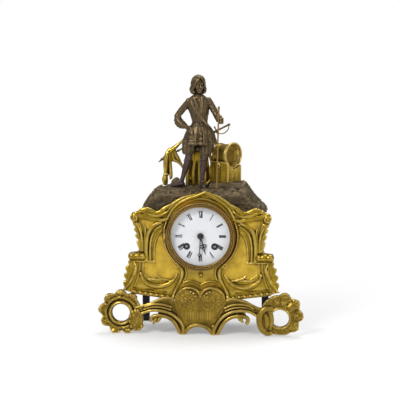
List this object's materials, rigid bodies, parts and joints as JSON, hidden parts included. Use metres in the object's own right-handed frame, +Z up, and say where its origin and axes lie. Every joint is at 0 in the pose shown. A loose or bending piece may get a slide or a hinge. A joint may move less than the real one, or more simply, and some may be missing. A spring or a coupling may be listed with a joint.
{
  "type": "figural table clock",
  "caption": "Gilt rocaille table clock on shell feet, with a bronzed standing cavalier and trophies on a rock, white dial, hinged bezel and striking movement.",
  "frame": {"origin": "on the table, under the middle of the clock's width and depth", "axes": "+Z up, +Y to the clock's back, +X to the viewer's right when facing the dial"},
  "size_m": [0.298, 0.114, 0.3723],
  "materials": {
    "gilt": "gilded, satin with burnished high points",
    "bronze": "brown patina, satin",
    "brass": "polished",
    "steel": "polished",
    "blued_steel": "dark blued",
    "enamel": "glossy vitreous enamel",
    "dark_iron": "dark, matt",
    "clear_glass": "clear"
  },
  "bodies": {
    "case": {"case_body": "gilt", "case_back": "brass", "base_apron": "gilt", "left_shell_foot": "gilt", "right_shell_foot": "gilt", "left_rear_foot": "dark_iron", "right_rear_foot": "dark_iron", "rock_mound": "bronze", "left_mound_bolt": "steel", "right_mound_bolt": "steel", "figure": "bronze", "cane": "brass", "sword": "bronze", "banner": "gilt", "strongbox": "gilt", "drum": "gilt", "dial": "enamel", "dial_ring": "brass", "bezel_hinge_pin": "steel", "rear_ring": "brass", "rear_hinge_pin": "steel", "left_movement_strap": "brass", "right_movement_strap": "brass", "left_strap_screw": "steel", "right_strap_screw": "steel", "front_plate": "brass", "back_plate": "brass", "suspension_cock": "brass", "bell": "brass", "bell_stand": "steel"},
    "bezel_group": {"front_bezel": "gilt", "dial_glass": "clear_glass"},
    "door_group": {"rear_door": "brass"},
    "minute_group": {"minute_hand": "blued_steel", "hand_collet": "blued_steel", "cannon_pinion": "steel", "centre_wheel": "brass"},
    "hour_group": {"hour_hand": "blued_steel", "hour_wheel": "brass"},
    "minute_wheel_group": {"minute_wheel": "brass"},
    "first_wheel_group": {"first_wheel": "brass"},
    "going_barrel_group": {"going_barrel": "brass", "going_mainspring": "blued_steel"},
    "third_wheel_group": {"third_wheel": "brass"},
    "escape_group": {"escape_wheel": "brass"},
    "going_winding_group": {"going_winding_arbor": "steel"},
    "strike_barrel_group": {"strike_barrel": "brass", "strike_mainspring": "blued_steel"},
    "strike_winding_group": {"strike_winding_arbor": "steel"},
    "strike_second_group": {"strike_second_wheel": "brass", "count_wheel": "brass"},
    "pin_wheel_group": {"pin_wheel": "brass"},
    "fly_group": {"fly": "brass"},
    "hammer_group": {"hammer": "steel"},
    "anchor_group": {"pallet_anchor": "steel"},
    "pendulum_group": {"pendulum_rod": "steel", "pendulum_bob": "brass", "rating_nut": "brass"}
  },
  "joints": [
    {"name": "bezel_hinge", "type": "hinge", "parent": "case", "child": "bezel_group", "pos_m": [-0.0518, -0.053, 0.144], "axis": [0, 0, -1], "range_deg": [0, 110]},
    {"name": "rear_door_hinge", "type": "hinge", "parent": "case", "child": "door_group", "pos_m": [0.0518, 0.0465, 0.144], "axis": [0, 0, -1], "range_deg": [0, 110]},
    {"name": "minute_hand_turn", "type": "hinge", "parent": "case", "child": "minute_group", "pos_m": [0, -0.02, 0.144], "axis": [0, 1, 0], "continuous": true},
    {"name": "hour_hand_turn", "type": "hinge", "parent": "case", "child": "hour_group", "pos_m": [0, -0.02, 0.144], "axis": [0, 1, 0], "continuous": true},
    {"name": "minute_wheel_turn", "type": "hinge", "parent": "case", "child": "minute_wheel_group", "pos_m": [0, -0.02, 0.1584], "axis": [0, 1, 0], "continuous": true},
    {"name": "first_wheel_turn", "type": "hinge", "parent": "case", "child": "first_wheel_group", "pos_m": [0.01546, -0.02, 0.14911], "axis": [0, 1, 0], "continuous": true},
    {"name": "going_barrel_turn", "type": "hinge", "parent": "case", "child": "going_barrel_group", "pos_m": [0.0203, -0.02, 0.129], "axis": [0, 1, 0], "continuous": true},
    {"name": "third_wheel_turn", "type": "hinge", "parent": "case", "child": "third_wheel_group", "pos_m": [-0.00591, -0.02, 0.1587], "axis": [0, 1, 0], "continuous": true},
    {"name": "escape_wheel_turn", "type": "hinge", "parent": "case", "child": "escape_group", "pos_m": [0, -0.02, 0.1705], "axis": [0, 1, 0], "continuous": true},
    {"name": "going_winding_turn", "type": "hinge", "parent": "case", "child": "going_winding_group", "pos_m": [0.0203, -0.02, 0.129], "axis": [0, 1, 0], "continuous": true},
    {"name": "pin_wheel_turn", "type": "hinge", "parent": "case", "child": "pin_wheel_group", "pos_m": [-0.0226, -0.02, 0.15934], "axis": [0, 1, 0], "continuous": true},
    {"name": "strike_second_turn", "type": "hinge", "parent": "case", "child": "strike_second_group", "pos_m": [-0.026, -0.02, 0.14888], "axis": [0, 1, 0], "continuous": true},
    {"name": "strike_barrel_turn", "type": "hinge", "parent": "case", "child": "strike_barrel_group", "pos_m": [-0.0203, -0.02, 0.129], "axis": [0, 1, 0], "continuous": true},
    {"name": "fly_turn", "type": "hinge", "parent": "case", "child": "fly_group", "pos_m": [-0.01744, -0.02, 0.16905], "axis": [0, 1, 0], "continuous": true},
    {"name": "strike_winding_turn", "type": "hinge", "parent": "case", "child": "strike_winding_group", "pos_m": [-0.0203, -0.02, 0.129], "axis": [0, 1, 0], "continuous": true},
    {"name": "pendulum_swing", "type": "hinge", "parent": "case", "child": "pendulum_group", "pos_m": [0, 0.008, 0.1805], "axis": [0, 1, 0], "range_deg": [-5, 5]},
    {"name": "anchor_rock", "type": "hinge", "parent": "case", "child": "anchor_group", "pos_m": [0, -0.01, 0.1795], "axis": [0, 1, 0], "range_deg": [-5, 5]},
    {"name": "hammer_lift", "type": "hinge", "parent": "case", "child": "hammer_group", "pos_m": [-0.019, 0.018, 0.115], "axis": [0, -1, 0], "range_deg": [0, 16], "stiffness_Nm_per_rad": 0.002}
  ],
  "couplings": [
    {"joint": "hour_hand_turn", "follows": "minute_hand_turn", "ratio": 0.083333},
    {"joint": "minute_wheel_turn", "follows": "minute_hand_turn", "ratio": -0.33333},
    {"joint": "first_wheel_turn", "follows": "minute_hand_turn", "ratio": -0.22222},
    {"joint": "going_barrel_turn", "follows": "minute_hand_turn", "ratio": 0.049383},
    {"joint": "third_wheel_turn", "follows": "minute_hand_turn", "ratio": -5},
    {"joint": "escape_wheel_turn", "follows": "minute_hand_turn", "ratio": 25},
    {"joint": "strike_second_turn", "follows": "pin_wheel_turn", "ratio": -0.25},
    {"joint": "strike_barrel_turn", "follows": "pin_wheel_turn", "ratio": 0.055556},
    {"joint": "fly_turn", "follows": "pin_wheel_turn", "ratio": -4},
    {"joint": "anchor_rock", "follows": "pendulum_swing", "ratio": 1}
  ]
}
